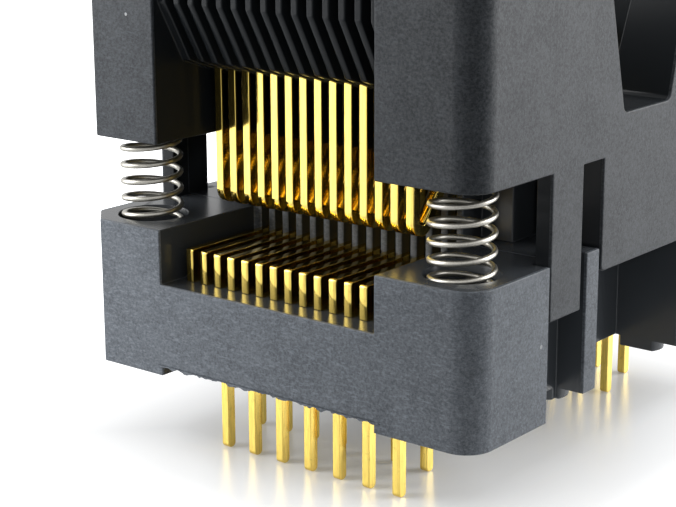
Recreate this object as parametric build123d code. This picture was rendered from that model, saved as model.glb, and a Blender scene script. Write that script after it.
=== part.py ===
"""Open-top test socket for a 28-lead, 0.65 mm pitch small-outline package.

Millimetres, +Z up. X runs along the two rows of contacts and Y across them. Every height below is
measured from the board that the feet stand on, and every reach from the socket's centre plane. The
finished pieces are lifted by the length of the solder tails, so that the tips stand on Z = 0.
"""
from build123d import *
from math import cos, degrees, pi, sin
import os

# Contacts
pitch = 0.65
contacts_per_side = 14
sheet = 0.32              # thickness of the stamped contact strip
strip = 0.38              # width of the contact's spring leg, seen from the side
tail_length = 3.03        # solder tail below the board face of the feet
bar_outer_reach = 9.31
tail_inset = 1.16         # from the bar's outer end to the outer row of tails
tail_rows = 2.5           # distance between the outer and the inner row of tails
bar_height = 1.2
post_reach = 4.55
lever_reach = 7.44
bow_apex = 9.37           # height where the lines of the post and the inner leg would meet
elbow_apex = 5.37         # height where the lines of the inner leg and the lever would meet
lever_top = 12.6
arm_reach = 4.1
arm_height = 11.6
nose_reach = 3.5
nose_gap = 0.15           # air between the nose and the lead shelf with no package in place
bow_radius = 0.4
elbow_radius = 0.36
shoulder_radius = 0.8
arm_radius = 0.9
chord_angle = 45          # degrees of bend that one flat stands for
corner_break = 0.1
tip_break = 0.11          # blunted end of the solder tails

# Package that the socket takes
package_end = 0.875       # package body beyond the middle of its last lead
package_width = 5.3
lead_span = 7.8
package_play = 0.1

# Body shared by base and cover
body_depth = 20.6
corner_radius = 1.0
index_corner = 1.04       # flat across the front left corner, beside contact 1
bay_end = 0.545           # open bay beyond the middle of the last contact

# Base
foot_height = 0.39
shelf = 3.39              # the bars stand on this
base_top = 5.36
comb_reach = 5.2          # outer face of the base's inner comb
comb_play = 0.1
platform_top = 7.3        # also the top of the inner comb
fence_rise = 1.0
fence_thickness = 0.75
slot_width = 0.36         # every comb slot, in base and cover
tail_clearance = 0.02
standoff_radius = 0.82
standoff_inset = 1.72     # from the body's end
standoff_reach = 3.4
seat_depth = 1.1          # spring seat in the base

# Snap legs and end guides
leg_near = 4.1
leg_far = 6.0
leg_thickness = 0.64
leg_bottom = 3.46
barb = 0.35
barb_height = 0.75
barb_play = 0.04
barb_lead = 0.2           # upright part left above the barb's slope
guide_rib_far = 3.74
guide_rib_near = 2.94
guide_depth = 2.6
end_wall = 0.17           # between the guide's back and the package fence
guide_play = 0.1
tab_half = 2.8
tab_bottom = 4.5
tab_corner = 0.22
slide_play = 0.05

# Cover
cover_bottom = 8.42
cover_height = 7.58
comb_face = 10.0          # reach of the cover comb's upright face
comb_bend = 13.35
comb_foot_reach = 8.83
comb_foot = 11.24
rib_foot_reach = 6.66     # where the ribs' sloping underside meets the level of the throat's foot
slot_roof = 15.0
funnel_play = 0.25        # cover's throat outside the lead tips
throat_length_play = 0.15
funnel_flare = 1.4
window_half = 1.56
window_floor = 9.8
window_lean = 0.25
window_corner = 0.25

# Springs
spring_inset = 1.85       # from the body's end
spring_reach = 8.4
spring_outer = 2.3
spring_wire = 0.2
spring_turns = 9          # with one closed turn at each end
closed_pitch = 0.21
turn_chords = 8           # straight runs that stand for one turn
wire_sides = 5
seat_play = 0.12

outer_tail_reach = bar_outer_reach - tail_inset
inner_tail_reach = outer_tail_reach - tail_rows
row_half = (contacts_per_side - 1) / 2 * pitch
bay_half = row_half + bay_end
package_half = row_half + package_end
fence_inner = package_half + package_play
platform_half = fence_inner + fence_thickness
half_length = platform_half + end_wall + guide_depth
half_depth = body_depth / 2
cover_top = cover_bottom + cover_height
throat_foot = platform_top + cover_bottom - base_top + comb_play
spring_x = half_length - spring_inset
through = 2.0             # how far a cutting solid runs past the face it cuts
overlap = 0.5             # how far two joined solids run into each other
row_x = [i * pitch - row_half for i in range(contacts_per_side)]


def block(x0, x1, y0, y1, z0, z1):
    """A box given by its six faces."""
    middle = Pos((x0 + x1) / 2, (y0 + y1) / 2, (z0 + z1) / 2)
    return middle * Box(abs(x1 - x0), abs(y1 - y0), abs(z1 - z0))


def across(points, x_middle, width):
    """A profile of (reach, height) points on the front side, drawn out along X."""
    outline = Plane.YZ * make_face(Polyline([(-reach, height) for reach, height in points], close=True))
    return Pos(x_middle, 0, 0) * extrude(outline, amount=width / 2, both=True)


def both_sides(solid):
    """A front feature and its twin on the back, half a turn round the centre."""
    return [solid, Rot(0, 0, 180) * solid]


def four_corners(solid):
    """A feature at the front right and its copies at the other three corners."""
    left = mirror(solid, about=Plane.YZ)
    return [solid, left, mirror(solid, about=Plane.XZ), mirror(left, about=Plane.XZ)]


def both_ends(solid):
    """A feature of the right end and its copy on the left."""
    return [solid, mirror(solid, about=Plane.YZ)]


def from_index(corner):
    """Sorts the corners of an outline, the index corner at the front left first."""
    return corner.X + corner.Y


def body_outline(z0, z1):
    """The outline that base and cover share: three round upright corners and the flat index corner."""
    outline = Rectangle(2 * half_length, body_depth)
    outline = fillet(sorted(outline.vertices(), key=from_index)[1:], corner_radius)
    outline = chamfer(min(outline.vertices(), key=from_index), index_corner)
    return Pos(0, 0, z0) * extrude(outline, amount=z1 - z0)


def ribbon(points, width):
    """The closed outline of a strip of even width along a line of points, mitred at each of them."""
    runs = [(end - start).normalized() for start, end in zip(points, points[1:])]
    left = []
    right = []
    for point, behind, ahead in zip(points, [runs[0], *runs], [*runs, runs[-1]]):
        along = (behind + ahead).normalized()
        out = Vector(-along.Y, along.X) * (width / 2 / along.dot(ahead))
        left.append(point + out)
        right.append(point - out)
    return Polyline(*left, *reversed(right), close=True)


def contact(tail_reach):
    """One stamped contact of the front row, on the plane X = 0.

    A tail goes down through the base from a bar that lies on the shelf. At the bar's inner end a
    post rises and bows over into the inner leg, which runs down to the elbow. From there the lever
    climbs into the cover's comb and an arm brings the nose back down over the package lead.
    """
    nose_end = platform_top + nose_gap + strip / 2
    bends = FilletPolyline(
        (-post_reach, shelf + bar_height / 2),
        (-post_reach, bow_apex),
        (-lever_reach, elbow_apex),
        (-lever_reach, lever_top),
        (-arm_reach, arm_height),
        (-nose_reach, nose_end),
        radius=(bow_radius, elbow_radius, shoulder_radius, arm_radius),
    )
    points = [bends @ 0]
    for arc in bends.edges().filter_by(GeomType.CIRCLE):
        chords = max(1, round(degrees(arc.length / arc.radius) / chord_angle))
        points += [arc @ (i / chords) for i in range(chords + 1)]
    leg = make_face(ribbon([*points, bends @ 1], strip))
    bar_inner = post_reach - strip / 2
    bar = Pos(-(bar_outer_reach + bar_inner) / 2, shelf + bar_height / 2) * Rectangle(
        bar_outer_reach - bar_inner, bar_height
    )
    bar = chamfer(bar.vertices().sort_by(Axis.X)[:2].sort_by(Axis.Y)[-1], corner_break)
    tail = Pos(-tail_reach, (shelf + corner_break - tail_length) / 2) * Rectangle(
        strip, shelf + corner_break + tail_length
    )
    tail = chamfer(tail.vertices().sort_by(Axis.Y)[:2], tip_break)
    profile = Plane.YZ * (leg + bar + tail)
    return extrude(profile, amount=sheet / 2, both=True)


def spring_at(x, y):
    """A right-hand compression spring with a closed turn lying on the seat at each end."""
    low = base_top - seat_depth + spring_wire / 2
    high = cover_bottom + seat_depth - spring_wire / 2
    radius = (spring_outer - spring_wire) / 2
    active_turns = spring_turns - 2
    active_pitch = (high - low - 2 * closed_pitch) / active_turns
    points = []
    for step in range(spring_turns * turn_chords + 1):
        turn = step / turn_chords
        active = min(max(turn - 1, 0), active_turns)
        height = low + closed_pitch * (turn - active) + active_pitch * active
        points.append((radius * cos(2 * pi * turn), radius * sin(2 * pi * turn), height))
    lead = Polyline(*points)
    start = Plane(origin=lead @ 0, z_dir=lead % 0)
    section = start * RegularPolygon(spring_wire / 2, wire_sides)
    wire = sweep(section, path=lead, transition=Transition.RIGHT)
    return Pos(x, y, 0) * wire


def base_piece():
    """The moulded base: body, contact bays, package platform, seats, guides and feet."""
    body = body_outline(0, base_top)
    foot_near = leg_far + slide_play
    body -= block(-half_length - through, half_length + through, -foot_near, foot_near,
                  -through, foot_height)
    body -= block(-bay_half, bay_half, -half_depth - through, half_depth + through,
                  -through, foot_height)
    standoff = Pos(half_length - standoff_inset, -standoff_reach, foot_height / 2) * Cylinder(
        standoff_radius, foot_height
    )
    body += four_corners(standoff)

    bay = across(
        [(half_depth + through, shelf), (comb_reach, shelf), (comb_reach, base_top + through),
         (half_depth + through, base_top + through)],
        0, 2 * bay_half,
    )
    body -= both_sides(bay)

    comb_half = bay_half - comb_play
    body += block(-comb_half, comb_half, -comb_reach, comb_reach, base_top - overlap, platform_top)
    platform_reach = lead_span / 2 + funnel_play - guide_play
    body += block(-platform_half, platform_half, -platform_reach, platform_reach,
                  base_top - overlap, platform_top)
    fence_half = package_width / 2
    fence = block(fence_inner, platform_half, -fence_half, fence_half, platform_top,
                  platform_top + fence_rise)
    body += both_ends(fence)

    post_inner = post_reach - strip / 2 - tail_clearance
    for x in row_x:
        slot = block(x - slot_width / 2, x + slot_width / 2, -comb_reach - through, -post_inner,
                     shelf, platform_top + through)
        body -= both_sides(slot)

    tail_x = sheet / 2 + tail_clearance
    tail_y = strip / 2 + tail_clearance
    for i, x in enumerate(row_x):
        reach = tail_reach_of(i)
        hole = block(x - tail_x, x + tail_x, -reach - tail_y, -reach + tail_y, -through, shelf)
        body -= both_sides(hole)

    seat = Pos(spring_x, -spring_reach, base_top) * Cylinder(
        spring_outer / 2 + seat_play, 2 * seat_depth
    )
    body -= four_corners(seat)

    slot_back = half_length - leg_thickness - slide_play
    leg_slot = block(slot_back, half_length + through, -leg_far - slide_play, -guide_rib_far,
                     -through, base_top + through)
    ledge_under = leg_bottom + barb_height + barb_play
    barb_room = block(slot_back - barb - slide_play, half_length + through, -leg_far - slide_play,
                      -guide_rib_far, -through, ledge_under)
    body -= four_corners(leg_slot) + four_corners(barb_room)

    guide = block(half_length - guide_depth, half_length + through, -guide_rib_near, guide_rib_near,
                  -through, base_top + through)
    body -= both_ends(guide)
    return body


def tail_reach_of(index):
    """Tails alternate between the inner and the outer row, starting with the inner one."""
    return inner_tail_reach if index % 2 == 0 else outer_tail_reach


def cover_piece():
    """The moulded cover: comb on both sides, package throat, windows, spring seats, legs and tabs."""
    body = body_outline(cover_bottom, cover_top)

    throat_x = platform_half + throat_length_play
    throat_y = lead_span / 2 + funnel_play
    under = across(
        [(half_depth + through, cover_bottom - through), (half_depth + through, cover_top + through),
         (comb_face, cover_top + through), (comb_face, comb_bend), (comb_foot_reach, comb_foot),
         (rib_foot_reach, throat_foot), (throat_y - overlap, throat_foot),
         (throat_y - overlap, cover_bottom - through)],
        0, 2 * bay_half,
    )
    body -= both_sides(under)

    throat = loft([
        Plane.XY.offset(cover_bottom) * Rectangle(2 * throat_x, 2 * throat_y),
        Plane.XY.offset(cover_top) * Rectangle(2 * throat_x + funnel_flare,
                                                      2 * throat_y + 2 * funnel_flare),
    ])
    body -= throat

    for x in row_x:
        slot = block(x - slot_width / 2, x + slot_width / 2, -half_depth - through, 0,
                     cover_bottom - through, slot_roof)
        body -= both_sides(slot)

    top_half = window_half + window_lean * (cover_top + through - window_floor)
    window = Plane.YZ * make_face(Polyline(
        [(-window_half, window_floor), (window_half, window_floor), (top_half, cover_top + through),
         (-top_half, cover_top + through)], close=True))
    window = fillet(window.vertices().sort_by(Axis.Z)[:2], window_corner)
    body -= both_ends(Pos(half_length + through, 0, 0) * extrude(window, amount=-half_length))

    seat = Pos(spring_x, -spring_reach, cover_bottom) * Cylinder(
        spring_outer / 2 + seat_play, 2 * seat_depth
    )
    body -= four_corners(seat)

    leg = block(half_length - leg_thickness, half_length, -leg_far, -leg_near, leg_bottom,
                cover_bottom + overlap)
    leg_back = half_length - leg_thickness
    hook = Plane.XZ * make_face(Polyline(
        [(half_length, leg_bottom), (leg_back, leg_bottom),
         (leg_back - barb, leg_bottom + barb_height - barb_lead),
         (leg_back - barb, leg_bottom + barb_height), (half_length, leg_bottom + barb_height)],
        close=True))
    hook = Pos(0, -leg_near, 0) * extrude(hook, amount=leg_far - leg_near)
    body += four_corners(leg + hook)

    tab = block(half_length - guide_depth + guide_play, half_length, -tab_half, tab_half, tab_bottom,
                cover_bottom + overlap)
    tab = fillet(tab.edges().filter_by(Axis.X).sort_by(Axis.Z)[:2], tab_corner)
    body += both_ends(tab)
    return body


def write(name, solid):
    """Lifts a piece onto its tails and writes it as one STEP file."""
    solid = Pos(0, 0, tail_length) * solid
    export_step(solid, f"parts/{name}.step")


def main():
    os.makedirs("parts", exist_ok=True)
    write("base", base_piece())
    write("cover", cover_piece())
    for side, turn in (("front", 0), ("back", 180)):
        for i, x in enumerate(row_x):
            piece = Rot(0, 0, turn) * Pos(x, 0, 0) * contact(tail_reach_of(i))
            write(f"contact_{side}_{i + 1:02d}", piece)
    for side, sy in (("front", -1), ("back", 1)):
        for end, sx in (("left", -1), ("right", 1)):
            write(f"spring_{side}_{end}", spring_at(sx * spring_x, sy * spring_reach))


main()
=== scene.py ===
"""Looks of a 28-contact open-top test socket: mouldings, stamped contacts, springs and a plain studio.

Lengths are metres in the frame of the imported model: X along the rows of contacts, Y across them, +Z up,
and the tips of the solder tails on Z = 0. A reach is a distance from the middle plane between the rows,
and a height is measured from the board that the feet stand on.
"""
from math import cos, pi, radians, sin

import bmesh
import bpy
from mathutils import Matrix, Vector


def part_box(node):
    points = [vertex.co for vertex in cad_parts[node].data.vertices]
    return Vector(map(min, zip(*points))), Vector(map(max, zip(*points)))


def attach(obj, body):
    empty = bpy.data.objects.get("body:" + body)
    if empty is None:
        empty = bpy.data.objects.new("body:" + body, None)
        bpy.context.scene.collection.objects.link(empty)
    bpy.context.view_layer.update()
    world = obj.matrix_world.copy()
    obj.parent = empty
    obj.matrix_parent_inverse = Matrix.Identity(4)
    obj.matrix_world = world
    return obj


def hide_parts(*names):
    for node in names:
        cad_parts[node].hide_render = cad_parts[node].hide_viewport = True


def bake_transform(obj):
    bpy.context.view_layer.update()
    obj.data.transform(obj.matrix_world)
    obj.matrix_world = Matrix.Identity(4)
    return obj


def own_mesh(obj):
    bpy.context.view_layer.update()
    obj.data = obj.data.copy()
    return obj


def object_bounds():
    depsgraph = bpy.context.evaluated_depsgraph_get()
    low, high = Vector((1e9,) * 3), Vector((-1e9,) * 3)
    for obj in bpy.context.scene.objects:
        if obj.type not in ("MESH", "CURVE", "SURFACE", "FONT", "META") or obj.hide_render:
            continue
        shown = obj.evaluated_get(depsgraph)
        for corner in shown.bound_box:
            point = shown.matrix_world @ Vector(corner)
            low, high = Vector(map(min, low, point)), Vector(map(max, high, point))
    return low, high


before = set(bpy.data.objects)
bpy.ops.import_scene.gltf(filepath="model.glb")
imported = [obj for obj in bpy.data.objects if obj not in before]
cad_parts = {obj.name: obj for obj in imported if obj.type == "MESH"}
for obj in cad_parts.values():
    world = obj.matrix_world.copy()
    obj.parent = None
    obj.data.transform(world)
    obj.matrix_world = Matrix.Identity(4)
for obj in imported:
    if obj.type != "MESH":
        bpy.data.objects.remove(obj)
CAD_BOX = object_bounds()

bl_info = {
    "name": "Open-top test socket",
    "version": (1, 0, 0),
    "blender": (4, 5, 0),
    "location": "View3D > Sidebar > Socket",
    "description": "Dresses a packed test socket and sets up a plain studio for it",
    "category": "Object",
}

MM = 0.001
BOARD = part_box("base")[0].z
HALF_LENGTH, HALF_DEPTH = CAD_BOX[1].x, CAD_BOX[1].y
# Each side of the socket, with the sense in which its outward direction runs along Y.
SIDES = {"front": -1, "back": 1}
ENDS = ("left", "right")
CONTACTS_PER_SIDE = sum(name.startswith("contact_front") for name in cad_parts)


def number(label, default, text, low=0.0, high=1.0):
    """A plain number on a property group."""
    return bpy.props.FloatProperty(name=label, description=text, default=default, min=low, max=high)


def length(label, millimetres, text):
    """A length on a property group, given in millimetres and kept in metres."""
    return bpy.props.FloatProperty(
        name=label, description=text, default=millimetres * MM, precision=5,
        subtype="DISTANCE", unit="LENGTH",
    )


def colour(label, default, text):
    """A linear colour on a property group."""
    return bpy.props.FloatVectorProperty(
        name=label, description=text, default=default, size=3, min=0.0, max=1.0, subtype="COLOR"
    )


class PlasticSettings(bpy.types.PropertyGroup):
    """Finish of the two glass-filled mouldings, with their painted side light and the painted shade of their
    inner faces.
    """

    base_shade: colour("Base", (0.094, 0.105, 0.120), "Colour of the base's textured outer skin")
    cover_shade: colour("Cover", (0.025, 0.029, 0.034), "Colour of the cover's textured outer skin")
    # The inside colours are the smooth inner finish and also painted shade: the recesses are painted darker
    # than the skin.
    base_inner_shaded: colour("Base inside", (0.042, 0.047, 0.053), "Colour of the base's smooth inner faces")
    cover_inner_shaded: colour("Cover inside", (0.011, 0.013, 0.015), "Colour of the cover's smooth inner faces")
    edge_break: length("Edge break", 0.06, "Radius on the moulded edges")
    mottle: number("Mottling", 0.58, "How strongly the skin is clouded")
    fibres: number("Fibres", 0.34, "How strongly glass fibres show in the skin")
    base_roughness: number("Base roughness", 0.44, "Roughness of the base's outer skin")
    cover_roughness: number("Cover roughness", 0.40, "Roughness of the cover's outer skin")
    gloss: number("Gloss", 0.24, "Specular level of the textured outer skin")
    # Painted light: the outer skin is painted paler towards contact 1 and darker towards the far end, as the
    # light from the left falls.
    painted_side_light: number("Painted side light", 0.30, "How much paler the outer skin gets towards contact 1")
    polish: number("Inner roughness", 0.24, "Roughness of the smooth inner faces")
    base_sheen: number("Base sheen", 0.38, "Specular level of the base's smooth inner faces")
    cover_sheen: number("Cover sheen", 0.14, "Specular level of the cover's smooth inner faces")


class ContactSettings(bpy.types.PropertyGroup):
    """Form and plating of the stamped contacts."""

    gold: colour("Gold", (0.88, 0.65, 0.155), "Colour of the plating")
    pitch: length("Pitch", 0.65, "Spacing of the contacts along a row")
    sheet: length("Sheet", 0.32, "Thickness of the stamped strip")
    strip: length("Strip", 0.38, "Width of the spring leg, seen from the end of the socket")
    edge_break: length("Edge break", 0.025, "Rounding of the blanked edges")
    tooth: length("Tooth", 0.27, "Thickness of the cover's teeth between the contacts")


class SpringSettings(bpy.types.PropertyGroup):
    """Form and finish of the four compression springs."""

    steel: colour("Steel", (0.46, 0.445, 0.40), "Colour of the drawn wire")
    outer: length("Outer diameter", 2.3, "Outside diameter of the coil")
    wire: length("Wire", 0.2, "Diameter of the wire")
    turns: number("Turns", 9.6, "All turns, closed ends included", low=3.0, high=30.0)


class StageSettings(bpy.types.PropertyGroup):
    """Floor, light and camera."""

    floor_shade: colour("Floor", (0.79, 0.80, 0.81), "Colour of the floor under the socket")
    sky_strength: number("Sky", 0.45, "Strength of the even light all round", high=3.0)
    left_power: number("Left soft box", 0.30, "Watts of the soft box at the front left", high=10.0)
    right_power: number("Right soft box", 0.36, "Watts of the soft box at the back right", high=10.0)
    floor_glow: number("Floor glow", 0.09, "Light added to the floor for the camera and for reflections")
    floor_lift: number("Floor lift", 0.30, "Light added for the camera close round the socket")
    floor_fade: length("White from", 16.0, "Distance from the socket where the floor turns white")


def add(tree, kind, sockets=None, **settings):
    """Adds a node to a tree. Each named input is linked where its value is a socket, and set otherwise."""
    node = tree.nodes.new(kind)
    for name, value in settings.items():
        setattr(node, name, value)
    for key, value in (sockets or {}).items():
        if isinstance(value, bpy.types.NodeSocket):
            tree.links.new(value, node.inputs[key])
        else:
            node.inputs[key].default_value = value
    return node


def maths(tree, operation, first, second=0.0, third=0.0):
    """The output of one Math node of a shader or geometry tree."""
    node = add(tree, "ShaderNodeMath", {0: first, 1: second, 2: third}, operation=operation)
    return node.outputs[0]


def new_tree(kind, label, inputs, outputs):
    """An empty node group with named sockets, and its two end nodes."""
    tree = bpy.data.node_groups.new(label, kind)
    for name, socket_type, default in inputs:
        socket = tree.interface.new_socket(name, in_out="INPUT", socket_type=socket_type)
        if default is not None:
            socket.default_value = default
    for name, socket_type in outputs:
        tree.interface.new_socket(name, in_out="OUTPUT", socket_type=socket_type)
    return tree, tree.nodes.new("NodeGroupInput"), tree.nodes.new("NodeGroupOutput")


def new_material(label):
    """A node material: its tree, its Principled shader and the object coordinate."""
    material = bpy.data.materials.new(label)
    material.use_nodes = True
    tree = material.node_tree
    shader = tree.nodes["Principled BSDF"]
    place = tree.nodes.new("ShaderNodeTexCoord").outputs["Object"]
    return material, tree, shader, place


def noise(tree, place, scale, detail=2.0, roughness=0.5, distortion=0.0):
    """The value of one noise texture."""
    return add(
        tree, "ShaderNodeTexNoise",
        {"Vector": place, "Scale": scale, "Detail": detail, "Roughness": roughness, "Distortion": distortion},
    ).outputs["Fac"]


def remap(tree, value, low, high, to_low=0.0, to_high=1.0):
    """Brings a value from one range to another, clamped."""
    return add(
        tree, "ShaderNodeMapRange",
        {"Value": value, "From Min": low, "From Max": high, "To Min": to_low, "To Max": to_high},
        clamp=True,
    ).outputs["Result"]


def stretched(tree, place, turn, stretch):
    """Object coordinates turned and drawn out, for streaks and fibres that lie one way."""
    return add(
        tree, "ShaderNodeMapping", {"Vector": place, "Rotation": turn, "Scale": stretch}
    ).outputs["Vector"]


def grain_group():
    """Skin of a glass-filled moulding: clouding, short fibres, pale specks and a fine height."""
    tree, start, end = new_tree(
        "ShaderNodeTree", "Glass-filled skin",
        [("Place", "NodeSocketVector", None), ("Cloud size", "NodeSocketFloat", 1.2 * MM),
         ("Fibre length", "NodeSocketFloat", 0.30 * MM)],
        [("Cloud", "NodeSocketFloat"), ("Fibres", "NodeSocketFloat"), ("Specks", "NodeSocketFloat"),
         ("Height", "NodeSocketFloat")],
    )
    grain_fineness, grain_share = 2.8, 0.72
    fibre_turns = ((0.3, 0.9, 0.2), (1.4, 0.2, 1.1), (0.7, 2.2, 1.9))
    fibre_slimness, fibre_height, height_fineness = 3.2, 0.5, 4.0
    speck_fineness, speck_radius, specks_left_out = 0.8, 0.055, 0.70
    place = start.outputs["Place"]
    cloud_scale = maths(tree, "DIVIDE", 1.0, start.outputs["Cloud size"])
    fibre_scale = maths(tree, "DIVIDE", 1.0, start.outputs["Fibre length"])

    broad = remap(tree, noise(tree, place, cloud_scale, 5.0, 0.65, 0.4), 0.34, 0.66)
    grain_scale = maths(tree, "MULTIPLY", fibre_scale, grain_fineness)
    grain = remap(tree, noise(tree, place, grain_scale, 4.0, 0.8), 0.37, 0.63)
    broad_share = maths(tree, "MULTIPLY", broad, 1.0 - grain_share)
    tree.links.new(maths(tree, "MULTIPLY_ADD", grain, grain_share, broad_share), end.inputs["Cloud"])

    layers = []
    for turn in fibre_turns:
        lying = stretched(tree, place, turn, (1.0, fibre_slimness, fibre_slimness))
        layers.append(remap(tree, noise(tree, lying, fibre_scale, 2.0, 0.5), 0.58, 0.72))
    fibres = maths(tree, "MAXIMUM", maths(tree, "MAXIMUM", layers[0], layers[1]), layers[2])
    tree.links.new(fibres, end.inputs["Fibres"])

    speck_scale = maths(tree, "MULTIPLY", cloud_scale, speck_fineness)
    cells = add(tree, "ShaderNodeTexVoronoi", {"Vector": place, "Scale": speck_scale}).outputs
    dust = maths(tree, "LESS_THAN", cells["Distance"], speck_radius)
    chance = add(tree, "ShaderNodeSeparateXYZ", {"Vector": cells["Color"]}).outputs["X"]
    rare = maths(tree, "GREATER_THAN", chance, specks_left_out)
    tree.links.new(maths(tree, "MULTIPLY", dust, rare), end.inputs["Specks"])

    fine = noise(tree, place, maths(tree, "MULTIPLY", fibre_scale, height_fineness), 3.0)
    height = maths(tree, "ADD", fine, maths(tree, "MULTIPLY", fibres, fibre_height))
    tree.links.new(height, end.inputs["Height"])
    return tree


def blended(tree, factor, first, second):
    """A colour between two others, by a mask."""
    node = add(tree, "ShaderNodeMix", data_type="RGBA")
    for name, value in (("Factor", factor), ("A", first), ("B", second)):
        socket = next(s for s in node.inputs if s.name == name and s.enabled)
        if isinstance(value, bpy.types.NodeSocket):
            tree.links.new(value, socket)
        else:
            socket.default_value = value
    return next(s for s in node.outputs if s.enabled)


def shades(shade, *factors):
    """Lighter and darker versions of a colour, as RGBA."""
    return [tuple(min(1.0, c * factor) for c in shade) + (1.0,) for factor in factors]


def streaks_group():
    """Streaks of a blanked edge or a drawn wire: fine lines along one way, and spots."""
    tree, start, end = new_tree(
        "ShaderNodeTree", "Drawn streaks",
        [("Place", "NodeSocketVector", None), ("Spacing", "NodeSocketFloat", 0.05 * MM),
         ("Stretch", "NodeSocketFloat", 12.0)],
        [("Streaks", "NodeSocketFloat"), ("Spots", "NodeSocketFloat")],
    )
    scale = maths(tree, "DIVIDE", 1.0, start.outputs["Spacing"])
    along = maths(tree, "DIVIDE", 1.0, start.outputs["Stretch"])
    parts = add(tree, "ShaderNodeSeparateXYZ", {"Vector": start.outputs["Place"]})
    drawn = add(
        tree, "ShaderNodeCombineXYZ",
        {"X": parts.outputs["X"], "Y": parts.outputs["Y"],
         "Z": maths(tree, "MULTIPLY", parts.outputs["Z"], along)},
    ).outputs["Vector"]
    tree.links.new(noise(tree, drawn, scale, 3.0, 0.6), end.inputs["Streaks"])
    spots = noise(tree, start.outputs["Place"], maths(tree, "MULTIPLY", scale, 0.3), 3.0, 0.6, 0.5)
    tree.links.new(remap(tree, spots, 0.60, 0.74), end.inputs["Spots"])
    return tree


def outside_group():
    """Masks by place: the body's outer faces and the comb's fronts, and the witness lines at the legs.

    Outer faces are those that lie on the upright outline, a rectangle with rounded corners.
    """
    tree, start, end = new_tree(
        "ShaderNodeTree", "Outer faces",
        [("Place", "NodeSocketVector", None), ("Half length", "NodeSocketFloat", HALF_LENGTH),
         ("Half depth", "NodeSocketFloat", HALF_DEPTH), ("Corner", "NodeSocketFloat", 1.0 * MM),
         ("Skin", "NodeSocketFloat", 0.11 * MM), ("Comb reach", "NodeSocketFloat", 5.2 * MM)],
        [("Outside", "NodeSocketFloat"), ("Witness", "NodeSocketFloat")],
    )
    leg_edges = (4.06 * MM, 6.04 * MM)
    line_half_width, line_strength = 0.022 * MM, 0.55
    comb_slack, comb_strength = 0.03 * MM, 0.7
    parts = add(tree, "ShaderNodeSeparateXYZ", {"Vector": start.outputs["Place"]}).outputs
    across = maths(tree, "ABSOLUTE", parts["Y"])
    near, far = [maths(tree, "COMPARE", across, edge, line_half_width) for edge in leg_edges]
    lines = maths(tree, "MULTIPLY", maths(tree, "MAXIMUM", near, far), line_strength)
    tree.links.new(lines, end.inputs["Witness"])

    beyond = []
    for axis, half in (("X", "Half length"), ("Y", "Half depth")):
        centre = maths(tree, "SUBTRACT", start.outputs[half], start.outputs["Corner"])
        past = maths(tree, "SUBTRACT", maths(tree, "ABSOLUTE", parts[axis]), centre)
        past = maths(tree, "MAXIMUM", past, 0.0)
        beyond.append(maths(tree, "MULTIPLY", past, past))
    from_centre = maths(tree, "SQRT", maths(tree, "ADD", beyond[0], beyond[1]))
    inner = maths(tree, "SUBTRACT", start.outputs["Corner"], start.outputs["Skin"])
    outer = maths(tree, "GREATER_THAN", from_centre, inner)
    comb = maths(tree, "ABSOLUTE", maths(tree, "SUBTRACT", across, start.outputs["Comb reach"]))
    comb_front = maths(tree, "MULTIPLY", maths(tree, "LESS_THAN", comb, comb_slack), comb_strength)
    tree.links.new(maths(tree, "MAXIMUM", comb_front, outer), end.inputs["Outside"])
    return tree


def shared(label, maker):
    """The node group with this name, made by its function when it is first asked for."""
    return bpy.data.node_groups.get(label) or maker()


def effect(tree, label, maker, place, values=None):
    """The outputs of a shared shader effect, put into a material."""
    node = add(tree, "ShaderNodeGroup", node_tree=shared(label, maker))
    tree.links.new(place, node.inputs["Place"])
    for name, value in (values or {}).items():
        node.inputs[name].default_value = value
    return node.outputs


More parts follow.
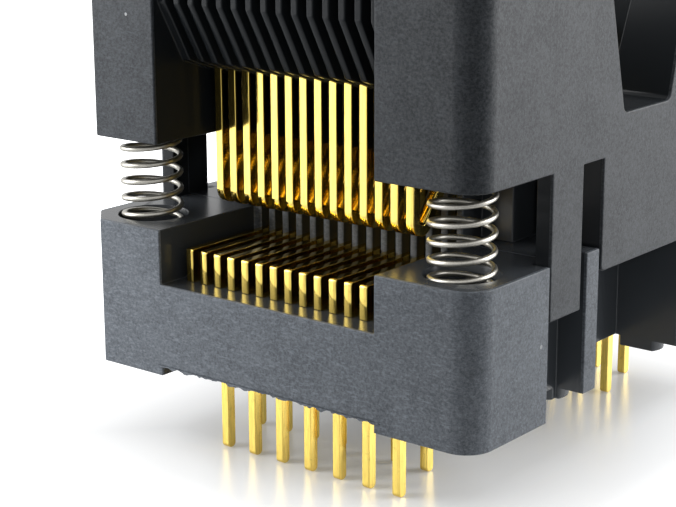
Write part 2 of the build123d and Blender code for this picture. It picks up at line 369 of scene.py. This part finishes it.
def plastic(label, shade, inside, roughness, sheen, settings):
    """Black glass-filled plastic: clouded, faintly fibrous skin and smooth inner faces, with painted light
    and shade.
    """
    material, tree, shader, place = new_material(label)
    skin = effect(tree, "Glass-filled skin", grain_group, place)
    faces = effect(tree, "Outer faces", outside_group, place)
    cloud, outside = skin["Cloud"], faces["Outside"]
    darkest, palest, glass = 1.0 - 0.62 * settings.mottle, 1.0 + 0.8 * settings.mottle, 2.6
    speck_shade = (0.30, 0.31, 0.32, 1.0)
    side_light_reach = 8.7 * MM
    smoother, rougher = 0.05, 0.08
    inner_bump, outer_bump, bump_depth = 0.05, 0.25, 0.01 * MM

    dark, pale, fibre = shades(shade, darkest, palest, glass)
    textured = blended(tree, cloud, dark, pale)
    showing = maths(tree, "MULTIPLY", skin["Fibres"], settings.fibres)
    textured = blended(tree, showing, textured, fibre)
    textured = blended(tree, skin["Specks"], textured, speck_shade)
    textured = blended(tree, faces["Witness"], textured, dark)
    # Painted side light: the skin's colour is scaled up towards contact 1 and down towards the far end.
    along = add(tree, "ShaderNodeSeparateXYZ", {"Vector": place}).outputs["X"]
    paler = remap(tree, along, side_light_reach, -side_light_reach, 1.0 - settings.painted_side_light, 1.0 + settings.painted_side_light)
    side_lit = add(tree, "ShaderNodeVectorMath", {0: textured, "Scale": paler}, operation="SCALE")
    # The inner faces get a darker colour of their own: their smooth finish, with painted shade for the
    # recesses.
    smooth_shaded_colour, = shades(inside, 1.0)
    mixed = blended(tree, outside, smooth_shaded_colour, side_lit.outputs["Vector"])
    tree.links.new(mixed, shader.inputs["Base Color"])

    rough = remap(tree, cloud, 0.0, 1.0, roughness - smoother, roughness + rougher)
    tree.links.new(remap(tree, outside, 0.0, 1.0, settings.polish, rough), shader.inputs["Roughness"])
    uneven = 0.5 * settings.mottle
    dullest, glossiest = settings.gloss * (1.0 - uneven), settings.gloss * (1.0 + uneven)
    gloss = remap(tree, cloud, 0.2, 0.8, dullest, glossiest)
    tree.links.new(remap(tree, outside, 0.0, 1.0, sheen, gloss), shader.inputs["Specular IOR Level"])
    strength = remap(tree, outside, 0.0, 1.0, inner_bump, outer_bump)
    bump = add(tree, "ShaderNodeBump",
               {"Height": skin["Height"], "Strength": strength, "Distance": bump_depth})
    tree.links.new(bump.outputs["Normal"], shader.inputs["Normal"])
    return material


def metal(label, shade, roughness, spacing, stretch, dull):
    """A plated or drawn metal: streaked roughness, duller spots and a slight change of colour."""
    material, tree, shader, place = new_material(label)
    drawn = effect(tree, "Drawn streaks", streaks_group, place, {"Spacing": spacing, "Stretch": stretch})
    rougher, bump_strength, bump_depth = 0.08, 0.04, 0.003 * MM
    deep, pale, dark = shades(shade, 0.80, 1.08, 0.45)
    tone = blended(tree, remap(tree, drawn["Streaks"], 0.35, 0.65), deep, pale)
    tone = blended(tree, maths(tree, "MULTIPLY", drawn["Spots"], dull), tone, dark)
    tree.links.new(tone, shader.inputs["Base Color"])
    rough = remap(tree, drawn["Streaks"], 0.3, 0.7, roughness, roughness + rougher)
    tree.links.new(rough, shader.inputs["Roughness"])
    shader.inputs["Metallic"].default_value = 1.0
    bump = add(tree, "ShaderNodeBump",
               {"Height": drawn["Streaks"], "Strength": bump_strength, "Distance": bump_depth})
    tree.links.new(bump.outputs["Normal"], shader.inputs["Normal"])
    return material


def finished(label, mesh, material):
    """Puts a mesh in the scene as a piece with one material."""
    piece = bpy.data.objects.new(label, mesh)
    bpy.context.scene.collection.objects.link(piece)
    mesh.materials.clear()
    mesh.materials.append(material)
    return piece


def rounded_edges(piece, radius, segments=2):
    """Rounds the edges of a piece and keeps its flat faces flat."""
    for face in piece.data.polygons:
        face.use_smooth = True
    bevel = piece.modifiers.new("Edge break", "BEVEL")
    bevel.width = radius
    bevel.segments = segments
    bevel.limit_method = "ANGLE"
    bevel.angle_limit = radians(25)
    bevel.use_clamp_overlap = True
    flat = piece.modifiers.new("Flat faces", "WEIGHTED_NORMAL")
    flat.weight = 100
    return piece


def moulding_mesh(node):
    """A clean copy of a CAD moulding, with its flat faces joined up."""
    work = bmesh.new()
    work.from_mesh(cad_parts[node].data)
    bmesh.ops.remove_doubles(work, verts=work.verts, dist=0.0005 * MM)
    bmesh.ops.dissolve_limit(work, angle_limit=radians(1), verts=work.verts, edges=work.edges)
    mesh = bpy.data.meshes.new(f"{node}_skin")
    work.to_mesh(mesh)
    work.free()
    return mesh


def baked(carrier):
    """The evaluated mesh of a carrier object, which is then removed with its modifiers."""
    evaluated = carrier.evaluated_get(bpy.context.evaluated_depsgraph_get())
    mesh = bpy.data.meshes.new_from_object(evaluated)
    bpy.data.objects.remove(carrier)
    return mesh


def shaped(carrier, tree, values):
    """Runs a geometry tree on a carrier with these named inputs, and gives the plain mesh."""
    modifier = carrier.modifiers.new(tree.name, "NODES")
    modifier.node_group = tree
    for item in tree.interface.items_tree:
        if item.item_type == "SOCKET" and item.in_out == "INPUT" and item.name in values:
            modifier[item.identifier] = values[item.name]
    bpy.context.scene.collection.objects.link(carrier)
    bpy.context.view_layer.update()
    return baked(carrier)


def thickened(tree, sheet, thickness):
    """A flat mesh of a geometry tree, made into a closed plate."""
    thick = add(tree, "GeometryNodeExtrudeMesh",
                {"Mesh": sheet, "Offset Scale": thickness, "Individual": False}, mode="FACES")
    under = add(tree, "GeometryNodeFlipFaces", {"Mesh": sheet})
    whole = tree.nodes.new("GeometryNodeJoinGeometry")
    for part in (thick, under):
        tree.links.new(part.outputs["Mesh"], whole.inputs[0])
    closed = add(tree, "GeometryNodeMergeByDistance",
                 {"Geometry": whole.outputs[0], "Distance": 0.001 * MM})
    return closed.outputs[0]


def hand_over(tree, geometry, start, end):
    """Ends a geometry tree: real faces, in the material that the tree is given."""
    real = add(tree, "GeometryNodeRealizeInstances", {"Geometry": geometry})
    dressed = add(tree, "GeometryNodeSetMaterial",
                  {"Geometry": real.outputs["Geometry"], "Material": start.outputs["Material"]})
    tree.links.new(dressed.outputs["Geometry"], end.inputs["Geometry"])


def spring_tree():
    """A compression spring: a round wire led round a coil whose two end turns lie closed."""
    tree, start, end = new_tree(
        "GeometryNodeTree", "Wound spring",
        [("Geometry", "NodeSocketGeometry", None), ("Radius", "NodeSocketFloat", 1.0 * MM),
         ("Wire", "NodeSocketFloat", 0.2 * MM), ("Turns", "NodeSocketFloat", 9.0),
         ("Closed pitch", "NodeSocketFloat", 0.21 * MM), ("Low", "NodeSocketFloat", 0.0),
         ("High", "NodeSocketFloat", 5.0 * MM), ("Steps per turn", "NodeSocketInt", 36),
         ("Start angle", "NodeSocketFloat", 0.0), ("Material", "NodeSocketMaterial", None)],
        [("Geometry", "NodeSocketGeometry")],
    )
    closed_turns, wire_sides = 2.0, 12
    turns, steps, radius = (start.outputs[name] for name in ("Turns", "Steps per turn", "Radius"))
    low, closed_pitch = start.outputs["Low"], start.outputs["Closed pitch"]
    count = maths(tree, "MULTIPLY", turns, steps)
    line = add(tree, "GeometryNodeMeshLine", {"Count": maths(tree, "ADD", count, 1.0)})
    turn = maths(tree, "DIVIDE", tree.nodes.new("GeometryNodeInputIndex").outputs[0], steps)

    # A point climbs by the closed pitch on the first and last turn, and by the open pitch between.
    past_first = maths(tree, "MAXIMUM", maths(tree, "SUBTRACT", turn, closed_turns / 2), 0.0)
    open_turns = maths(tree, "SUBTRACT", turns, closed_turns)
    active = maths(tree, "MINIMUM", past_first, open_turns)
    closed = maths(tree, "SUBTRACT", turn, active)
    rise = maths(tree, "SUBTRACT", start.outputs["High"], low)
    closed_rise = maths(tree, "MULTIPLY", closed_pitch, closed_turns)
    open_pitch = maths(tree, "DIVIDE", maths(tree, "SUBTRACT", rise, closed_rise), open_turns)
    climbed = maths(tree, "ADD", maths(tree, "MULTIPLY", closed, closed_pitch),
                    maths(tree, "MULTIPLY", active, open_pitch))
    angle = maths(tree, "MULTIPLY_ADD", turn, 2 * pi, start.outputs["Start angle"])
    coil = add(
        tree, "ShaderNodeCombineXYZ",
        {"X": maths(tree, "MULTIPLY", maths(tree, "COSINE", angle), radius),
         "Y": maths(tree, "MULTIPLY", maths(tree, "SINE", angle), radius),
         "Z": maths(tree, "ADD", low, climbed)},
    )
    placed = add(tree, "GeometryNodeSetPosition",
                 {"Geometry": line.outputs["Mesh"], "Position": coil.outputs["Vector"]})
    path = add(tree, "GeometryNodeMeshToCurve", {"Mesh": placed.outputs["Geometry"]})
    wire_radius = maths(tree, "MULTIPLY", start.outputs["Wire"], 0.5)
    section = add(tree, "GeometryNodeCurvePrimitiveCircle",
                  {"Resolution": wire_sides, "Radius": wire_radius})
    wire = add(
        tree, "GeometryNodeCurveToMesh",
        {"Curve": path.outputs["Curve"], "Profile Curve": section.outputs["Curve"], "Fill Caps": True},
    )
    smooth = add(tree, "GeometryNodeSetShadeSmooth", {"Geometry": wire.outputs["Mesh"]})
    hand_over(tree, smooth.outputs["Geometry"], start, end)
    return tree


def stamped_row_tree():
    """A closed outline with rounded corners, filled, given its thickness and set out in a row.

    One place of the row is filled, or all of them where Shown is below zero.
    """
    tree, start, end = new_tree(
        "GeometryNodeTree", "Stamped row",
        [("Geometry", "NodeSocketGeometry", None), ("Sheet", "NodeSocketFloat", 0.32 * MM),
         ("Pitch", "NodeSocketFloat", 0.65 * MM), ("Places", "NodeSocketInt", 14),
         ("Shown", "NodeSocketInt", 0), ("Corner steps", "NodeSocketInt", 10),
         ("Material", "NodeSocketMaterial", None)],
        [("Geometry", "NodeSocketGeometry")],
    )
    sheet, pitch, shown = (start.outputs[name] for name in ("Sheet", "Pitch", "Shown"))
    corners = add(
        tree, "GeometryNodeFilletCurve",
        {"Curve": start.outputs["Geometry"], "Count": start.outputs["Corner steps"],
         "Radius": tree.nodes.new("GeometryNodeInputRadius").outputs[0], "Limit Radius": True},
        mode="POLY",
    )
    face = add(tree, "GeometryNodeFillCurve", {"Curve": corners.outputs["Curve"]}, mode="NGONS")
    blank = thickened(tree, face.outputs["Mesh"], sheet)

    gaps = maths(tree, "SUBTRACT", start.outputs["Places"], 1.0)
    first_middle = maths(tree, "MULTIPLY", maths(tree, "MULTIPLY", gaps, pitch), -0.5)
    first = maths(tree, "SUBTRACT", first_middle, maths(tree, "MULTIPLY", sheet, 0.5))
    row = add(
        tree, "GeometryNodeMeshLine",
        {"Count": start.outputs["Places"],
         "Start Location": add(tree, "ShaderNodeCombineXYZ", {"Z": first}).outputs[0],
         "Offset": add(tree, "ShaderNodeCombineXYZ", {"Z": pitch}).outputs[0]},
    )
    index = tree.nodes.new("GeometryNodeInputIndex").outputs[0]
    picked = add(tree, "FunctionNodeCompare", {2: index, 3: shown}, data_type="INT", operation="EQUAL")
    whole_row = add(tree, "FunctionNodeCompare", {2: shown, 3: 0}, data_type="INT", operation="LESS_THAN")
    chosen = add(tree, "FunctionNodeBooleanMath",
                 {0: picked.outputs["Result"], 1: whole_row.outputs["Result"]}, operation="OR")
    placed = add(tree, "GeometryNodeInstanceOnPoints",
                 {"Points": row.outputs["Mesh"], "Selection": chosen.outputs[0], "Instance": blank})
    hand_over(tree, placed.outputs["Instances"], start, end)
    return tree


def flash_tree():
    """A thin ragged skin of plastic that hangs along an edge, with a fixed seed for its outline."""
    tree, start, end = new_tree(
        "GeometryNodeTree", "Mould flash",
        [("Geometry", "NodeSocketGeometry", None), ("Length", "NodeSocketFloat", 10.0 * MM),
         ("Drop", "NodeSocketFloat", 0.2 * MM), ("Lump", "NodeSocketFloat", 0.5 * MM),
         ("Thickness", "NodeSocketFloat", 0.05 * MM), ("Seed", "NodeSocketFloat", 3.0),
         ("Material", "NodeSocketMaterial", None)],
        [("Geometry", "NodeSocketGeometry")],
    )
    columns, least_drop = 160, 0.4
    deepest, thickness = start.outputs["Drop"], start.outputs["Thickness"]
    grid = add(
        tree, "GeometryNodeMeshGrid",
        {"Size X": start.outputs["Length"], "Size Y": deepest, "Vertices X": columns, "Vertices Y": 2},
    )
    position = tree.nodes.new("GeometryNodeInputPosition").outputs[0]
    here = add(tree, "ShaderNodeSeparateXYZ", {"Vector": position}).outputs
    low = maths(tree, "LESS_THAN", here["Y"], 0.0)
    lumps = maths(tree, "DIVIDE", here["X"], start.outputs["Lump"])
    ragged = add(
        tree, "ShaderNodeTexNoise",
        {"W": maths(tree, "ADD", lumps, start.outputs["Seed"]), "Scale": 1.0, "Detail": 3.0},
        noise_dimensions="1D",
    ).outputs["Fac"]
    drop = maths(tree, "MULTIPLY", remap(tree, ragged, 0.42, 0.72), deepest)
    depth = maths(tree, "ADD", drop, maths(tree, "MULTIPLY", thickness, least_drop))
    sag = maths(tree, "MULTIPLY", low, maths(tree, "MULTIPLY", depth, -1.0))
    hanging = add(tree, "ShaderNodeCombineXYZ", {"X": here["X"], "Z": sag}).outputs["Vector"]
    hung = add(tree, "GeometryNodeSetPosition",
               {"Geometry": grid.outputs["Mesh"], "Position": hanging})
    hand_over(tree, thickened(tree, hung.outputs["Geometry"], thickness), start, end)
    return tree


def ribbon(points, width):
    """Both sides of a strip of even width along a line of points, mitred, as (left, right) lists."""
    runs = [(b - a).normalized() for a, b in zip(points, points[1:])]
    left, right = [], []
    for point, behind, ahead in zip(points, [runs[0], *runs], [*runs, runs[-1]]):
        along = (behind + ahead).normalized()
        out = Vector((-along.y, along.x)) * (width / 2 / along.dot(ahead))
        left.append(point + out)
        right.append(point - out)
    return left, right


def contact_outline(tail_reach, strip):
    """The closed outline of one contact, as (reach, height, corner radius) from the board, in metres."""
    shelf, bar_top, bar_end = 3.39 * MM, 4.59 * MM, 9.31 * MM
    tail_tip, tip_radius, bar_radius, nose_radius = -3.03 * MM, 0.16 * MM, 0.10 * MM, 0.06 * MM
    # The strip's middle line in millimetres, with the radius of each bend: from the bar's top up behind
    # the inner comb, down to the elbow, up the lever, over the cover's foot and down to the nose.
    inner_leg, lever = 4.55, 7.44
    middle_line = ((inner_leg, 4.59, 0.0), (inner_leg, 9.37, 0.40), (lever, 5.37, 0.36),
                   (lever, 12.6, 0.80), (4.1, 11.6, 0.90), (3.5, 7.64, 0.0))
    path = [Vector((reach, height)) * MM for reach, height, bend in middle_line]
    half = strip / 2
    inside, outside = ribbon(path, strip)
    near, far = [], []
    for i in range(1, len(path) - 1):
        bend = middle_line[i][2] * MM
        turn = (path[i] - path[i - 1]).cross(path[i + 1] - path[i])
        swing = half if turn < 0 else -half
        near.append((*inside[i], bend + swing))
        far.append((*outside[i], bend - swing))
    nose = [(*inside[-1], nose_radius), (*outside[-1], nose_radius)]
    bar = [(*outside[0], 0.0), (bar_end, bar_top, bar_radius), (bar_end, shelf, 0.0)]
    tail = [(tail_reach + half, shelf, 0.0), (tail_reach + half, tail_tip, tip_radius),
            (tail_reach - half, tail_tip, tip_radius), (tail_reach - half, shelf, 0.0)]
    return [(inside[0].x, shelf, 0.0), *near, *nose, *reversed(far), *bar, *tail]


def outline_carrier(label, corners):
    """A closed curve through the corners, with each corner's fillet kept as the point's radius."""
    curve = bpy.data.curves.new(label, "CURVE")
    spline = curve.splines.new("POLY")
    spline.points.add(len(corners) - 1)
    for point, (reach, height, bend) in zip(spline.points, corners):
        point.co = (reach, height, 0.0, 1.0)
        point.radius = bend
    spline.use_cyclic_u = True
    return bpy.data.objects.new(label, curve)


def side_place(out):
    """Stands a (reach, height, along the row) shape up on the side with this outward sense."""
    return Matrix(((0, 0, -out, 0), (out, 0, 0, 0), (0, 1, 0, BOARD), (0, 0, 0, 1)))


class SOCKET_OT_mouldings(bpy.types.Operator):
    """Dress the base and the cover with rounded edges and the clouded plastic"""

    bl_idname = "socket.dress_mouldings"
    bl_label = "Dress mouldings"

    def execute(self, context):
        settings = context.scene.socket_plastic
        looks = {
            "base": (settings.base_shade, settings.base_inner_shaded,
                     settings.base_roughness, settings.base_sheen),
            "cover": (settings.cover_shade, settings.cover_inner_shaded,
                      settings.cover_roughness, settings.cover_sheen),
        }
        for node, look in looks.items():
            finish = plastic(f"{node} plastic", *look, settings)
            piece = finished(f"{node}_moulding", moulding_mesh(node), finish)
            rounded_edges(piece, settings.edge_break)
            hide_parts(node)
            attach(piece, node)
        return {"FINISHED"}


class SOCKET_OT_flash(bpy.types.Operator):
    """Leave the mould flash along the base's bottom edge, between the two feet"""

    bl_idname = "socket.leave_flash"
    bl_label = "Leave mould flash"

    def execute(self, context):
        tree = shared("Mould flash", flash_tree)
        finish = bpy.data.materials["base plastic"]
        edge_height, sunk = 0.39 * MM, 0.01 * MM
        seeds = {"front": 3.0, "back": 40.0}
        for side, out in SIDES.items():
            carrier = bpy.data.objects.new(f"edge_{side}", bpy.data.meshes.new("edge"))
            values = {"Length": 10.0 * MM, "Drop": 0.13 * MM, "Lump": 0.55 * MM,
                      "Thickness": 0.05 * MM, "Seed": seeds[side], "Material": finish}
            mesh = shaped(carrier, tree, values)
            place = (0, out * (HALF_DEPTH - sunk), BOARD + edge_height + sunk)
            mesh.transform(Matrix.Translation(place))
            piece = finished(f"base_flash_{side}", mesh, finish)
            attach(piece, "base")
        return {"FINISHED"}


class SOCKET_OT_contacts(bpy.types.Operator):
    """Stamp the 28 contacts, each a piece of its own"""

    bl_idname = "socket.stamp_contacts"
    bl_label = "Stamp contacts"

    def execute(self, context):
        settings = context.scene.socket_contact
        gold = metal("Contact gold", settings.gold, 0.07, 0.06 * MM, 14.0, 0.4)
        tree = shared("Stamped row", stamped_row_tree)
        outer_tail, inner_tail = 8.15 * MM, 5.65 * MM
        for side, out in SIDES.items():
            for i in range(CONTACTS_PER_SIDE):
                name = f"contact_{side}_{i + 1:02d}"
                tail_reach = inner_tail if i % 2 == 0 else outer_tail
                outline = contact_outline(tail_reach, settings.strip)
                carrier = outline_carrier(f"outline_{side}_{i}", outline)
                values = {"Sheet": settings.sheet, "Pitch": settings.pitch, "Places": CONTACTS_PER_SIDE,
                          "Shown": i, "Corner steps": 24, "Material": gold}
                mesh = shaped(carrier, tree, values)
                mesh.transform(side_place(out))
                piece = finished(f"gold_{name}", mesh, gold)
                rounded_edges(piece, settings.edge_break)
                piece.modifiers["Edge break"].use_clamp_overlap = False
                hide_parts(name)
                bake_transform(piece)
        return {"FINISHED"}


class SOCKET_OT_teeth(bpy.types.Operator):
    """Lengthen the cover's comb behind the levers, with a tooth in every gap of the row and at its ends"""

    bl_idname = "socket.lengthen_comb"
    bl_label = "Lengthen comb"

    def execute(self, context):
        settings = context.scene.socket_contact
        finish = bpy.data.materials["cover plastic"]
        tree = shared("Stamped row", stamped_row_tree)
        root, front, foot, top = 5.4 * MM, 6.8 * MM, 8.46 * MM, 10.6 * MM
        corners = [(root, foot, 0.0), (front, foot, 0.0), (front, top, 0.0), (root, top, 0.0)]
        for side, out in SIDES.items():
            carrier = outline_carrier(f"tooth_{side}", corners)
            values = {"Sheet": settings.tooth, "Pitch": settings.pitch, "Places": CONTACTS_PER_SIDE + 1,
                      "Shown": -1, "Corner steps": 1, "Material": finish}
            mesh = shaped(carrier, tree, values)
            mesh.transform(side_place(out))
            piece = finished(f"cover_teeth_{side}", mesh, finish)
            rounded_edges(piece, settings.edge_break)
            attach(piece, "cover")
        return {"FINISHED"}


class SOCKET_OT_springs(bpy.types.Operator):
    """Wind the four springs"""

    bl_idname = "socket.wind_springs"
    bl_label = "Wind springs"

    def execute(self, context):
        settings = context.scene.socket_spring
        steel = metal("Spring steel", settings.steel, 0.32, 0.04 * MM, 1.0, 0.4)
        tree = shared("Wound spring", spring_tree)
        half_wire = settings.wire / 2
        # Where the wire starts on the two springs whose coils the photograph shows, in degrees.
        start_angles = {"spring_front_left": 110, "spring_front_right": 200}
        for side in SIDES:
            for end in ENDS:
                name = f"spring_{side}_{end}"
                low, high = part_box(name)
                carrier = bpy.data.objects.new(f"coil_{side}_{end}", bpy.data.meshes.new("coil"))
                values = {"Radius": settings.outer / 2 - half_wire, "Wire": settings.wire,
                          "Turns": settings.turns, "Closed pitch": settings.wire * 1.05,
                          "Low": low.z + half_wire, "High": high.z - half_wire,
                          "Start angle": radians(start_angles.get(name, 0)), "Material": steel}
                mesh = shaped(carrier, tree, values)
                mesh.transform(Matrix.Translation(((low.x + high.x) / 2, (low.y + high.y) / 2, 0)))
                piece = finished(f"coil_{name}", mesh, steel)
                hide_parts(name)
                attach(piece, "base")
                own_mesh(piece)
        return {"FINISHED"}


def lamp(label, place, target, size, watts):
    """A square soft box that looks at a point."""
    data = bpy.data.lights.new(label, "AREA")
    data.size = size
    data.energy = watts
    box = bpy.data.objects.new(label, data)
    bpy.context.scene.collection.objects.link(box)
    box.location = place
    box.rotation_euler = (Vector(target) - Vector(place)).to_track_quat("-Z", "Y").to_euler()
    return box


def distance_along(tree, place, direction):
    """How far a point of the floor lies along a level direction."""
    node = add(tree, "ShaderNodeVectorMath", {0: place, 1: direction}, operation="DOT_PRODUCT")
    return node.outputs["Value"]


def floor_material(settings):
    """Pale floor with a camera glow that grows away from the socket, a painted shadow round it, and a glow
    for reflections too.
    """
    material, tree, shader, place = new_material("Studio floor")
    shader.inputs["Roughness"].default_value = 0.28
    path = tree.nodes.new("ShaderNodeLightPath").outputs
    spot = add(tree, "ShaderNodeSeparateXYZ", {"Vector": place}).outputs
    # Painted shadow: the camera's glow is least under and close round the socket and grows outward to white.
    clear = maths(tree, "MAXIMUM",
                  maths(tree, "SUBTRACT", maths(tree, "ABSOLUTE", spot["X"]), HALF_LENGTH),
                  maths(tree, "SUBTRACT", maths(tree, "ABSOLUTE", spot["Y"]), HALF_DEPTH))
    near = remap(tree, clear, -2.6 * MM, 1.6 * MM, 0.0, settings.floor_lift)
    white = maths(tree, "ADD", near, remap(tree, clear, 1.0 * MM, settings.floor_fade))
    glow = maths(tree, "ADD", settings.floor_glow, maths(tree, "MULTIPLY", white, path["Is Camera Ray"]))
    seen = maths(tree, "MAXIMUM", path["Is Camera Ray"], path["Is Glossy Ray"])
    shader.inputs["Emission Color"].default_value = (1.0, 1.0, 1.0, 1.0)
    tree.links.new(maths(tree, "MULTIPLY", seen, glow), shader.inputs["Emission Strength"])

    # Painted shade: towards the camera, from a little way in front of the socket on, the floor is dark to
    # every ray but the camera's own, for the shaded side of the room where the camera stands.
    forwards, sideways, dark = (0.625, -0.78, 0.0), (0.78, 0.625, 0.0), (0.05, 0.05, 0.05, 1.0)
    front = remap(tree, distance_along(tree, place, forwards), 22 * MM, 30 * MM)
    aside = remap(tree, distance_along(tree, place, sideways), -30 * MM, -18 * MM)
    unseen = maths(tree, "SUBTRACT", 1.0, path["Is Camera Ray"])
    painted_shade = maths(tree, "MULTIPLY", maths(tree, "MULTIPLY", front, aside), unseen)
    pale, = shades(settings.floor_shade, 1.0)
    tree.links.new(blended(tree, painted_shade, pale, dark), shader.inputs["Base Color"])
    return material


def lay_floor(scene, settings):
    """A level floor under the tails, wide enough to pass out of view on every side."""
    half = 0.6
    corners = [(-half, -half, 0.0), (half, -half, 0.0), (half, half, 0.0), (-half, half, 0.0)]
    mesh = bpy.data.meshes.new("floor")
    mesh.from_pydata(corners, [], [(0, 1, 2, 3)])
    mesh.materials.append(floor_material(settings))
    floor = bpy.data.objects.new("floor", mesh)
    scene.collection.objects.link(floor)


def white_sky(scene, strength):
    """Even white light all round, which the camera and reflections see at full strength."""
    world = bpy.data.worlds.new("Studio sky")
    scene.world = world
    world.use_nodes = True
    tree = world.node_tree
    background = tree.nodes["Background"]
    background.inputs["Color"].default_value = (1.0, 1.0, 1.0, 1.0)
    path = tree.nodes.new("ShaderNodeLightPath").outputs
    seen = maths(tree, "MAXIMUM", path["Is Camera Ray"], path["Is Glossy Ray"])
    level = maths(tree, "ADD", strength, maths(tree, "MULTIPLY", seen, 1.0 - strength))
    tree.links.new(level, background.inputs["Strength"])


def photo_camera(scene):
    """The camera of the photograph, as measured from the socket's own edges."""
    yaw, pitch, roll = radians(38.705), radians(14.762), radians(-0.265)
    place = Vector((0.038173, -0.053794, 0.023564))
    data = bpy.data.cameras.new("Camera")
    data.lens = 94.98
    data.sensor_width = 36.0
    data.clip_start = 0.001
    ahead = Vector((-sin(yaw) * cos(pitch), cos(yaw) * cos(pitch), -sin(pitch)))
    right = Vector((cos(yaw), sin(yaw), 0.0))
    up = right.cross(ahead)
    across = right * cos(roll) + up * sin(roll)
    upright = up * cos(roll) - right * sin(roll)
    turn = Matrix((across, upright, -ahead)).transposed()
    camera = bpy.data.objects.new("Camera", data)
    camera.matrix_world = Matrix.Translation(place) @ turn.to_4x4()
    scene.collection.objects.link(camera)
    scene.camera = camera


class SOCKET_OT_stage(bpy.types.Operator):
    """Lay the floor, hang the lights and set the camera as in the photograph"""

    bl_idname = "socket.set_stage"
    bl_label = "Set stage"

    def execute(self, context):
        scene = context.scene
        settings = scene.socket_stage
        scene.view_settings.view_transform = "Standard"
        white_sky(scene, settings.sky_strength)
        lay_floor(scene, settings)
        middle = (0.0, 0.0, 0.009)
        lamp("Left soft box", place=(-0.12, -0.08, 0.07), target=middle, size=0.14,
             watts=settings.left_power)
        lamp("Right soft box", place=(0.11, 0.10, 0.07), target=middle, size=0.13,
             watts=settings.right_power)
        photo_camera(scene)
        return {"FINISHED"}


class SOCKET_PT_panel(bpy.types.Panel):
    """Sizes, colours and steps of the test socket"""

    bl_idname = "SOCKET_PT_panel"
    bl_label = "Test socket"
    bl_space_type = "VIEW_3D"
    bl_region_type = "UI"
    bl_category = "Socket"

    def draw(self, context):
        groups = (context.scene.socket_plastic, context.scene.socket_contact,
                  context.scene.socket_spring, context.scene.socket_stage)
        for group in groups:
            box = self.layout.box()
            for name in group.bl_rna.properties.keys():
                if name not in ("rna_type", "name"):
                    box.prop(group, name)
        for step in STEPS:
            self.layout.operator(step.bl_idname)


STEPS = (SOCKET_OT_mouldings, SOCKET_OT_flash, SOCKET_OT_contacts, SOCKET_OT_teeth,
         SOCKET_OT_springs, SOCKET_OT_stage)
GROUPS = {"socket_plastic": PlasticSettings, "socket_contact": ContactSettings,
          "socket_spring": SpringSettings, "socket_stage": StageSettings}


def register():
    """Makes the settings, the steps and the panel known to Blender."""
    for item in (*GROUPS.values(), *STEPS, SOCKET_PT_panel):
        bpy.utils.register_class(item)
    for name, group in GROUPS.items():
        setattr(bpy.types.Scene, name, bpy.props.PointerProperty(type=group))


def unregister():
    """Takes the settings, the steps and the panel out again."""
    for name in GROUPS:
        delattr(bpy.types.Scene, name)
    for item in (SOCKET_PT_panel, *reversed(STEPS), *reversed(GROUPS.values())):
        bpy.utils.unregister_class(item)


def main():
    """Runs every step in order."""
    register()
    bpy.ops.socket.dress_mouldings()
    bpy.ops.socket.leave_flash()
    bpy.ops.socket.stamp_contacts()
    bpy.ops.socket.lengthen_comb()
    bpy.ops.socket.wind_springs()
    bpy.ops.socket.set_stage()


if __name__ == "__main__":
    main()
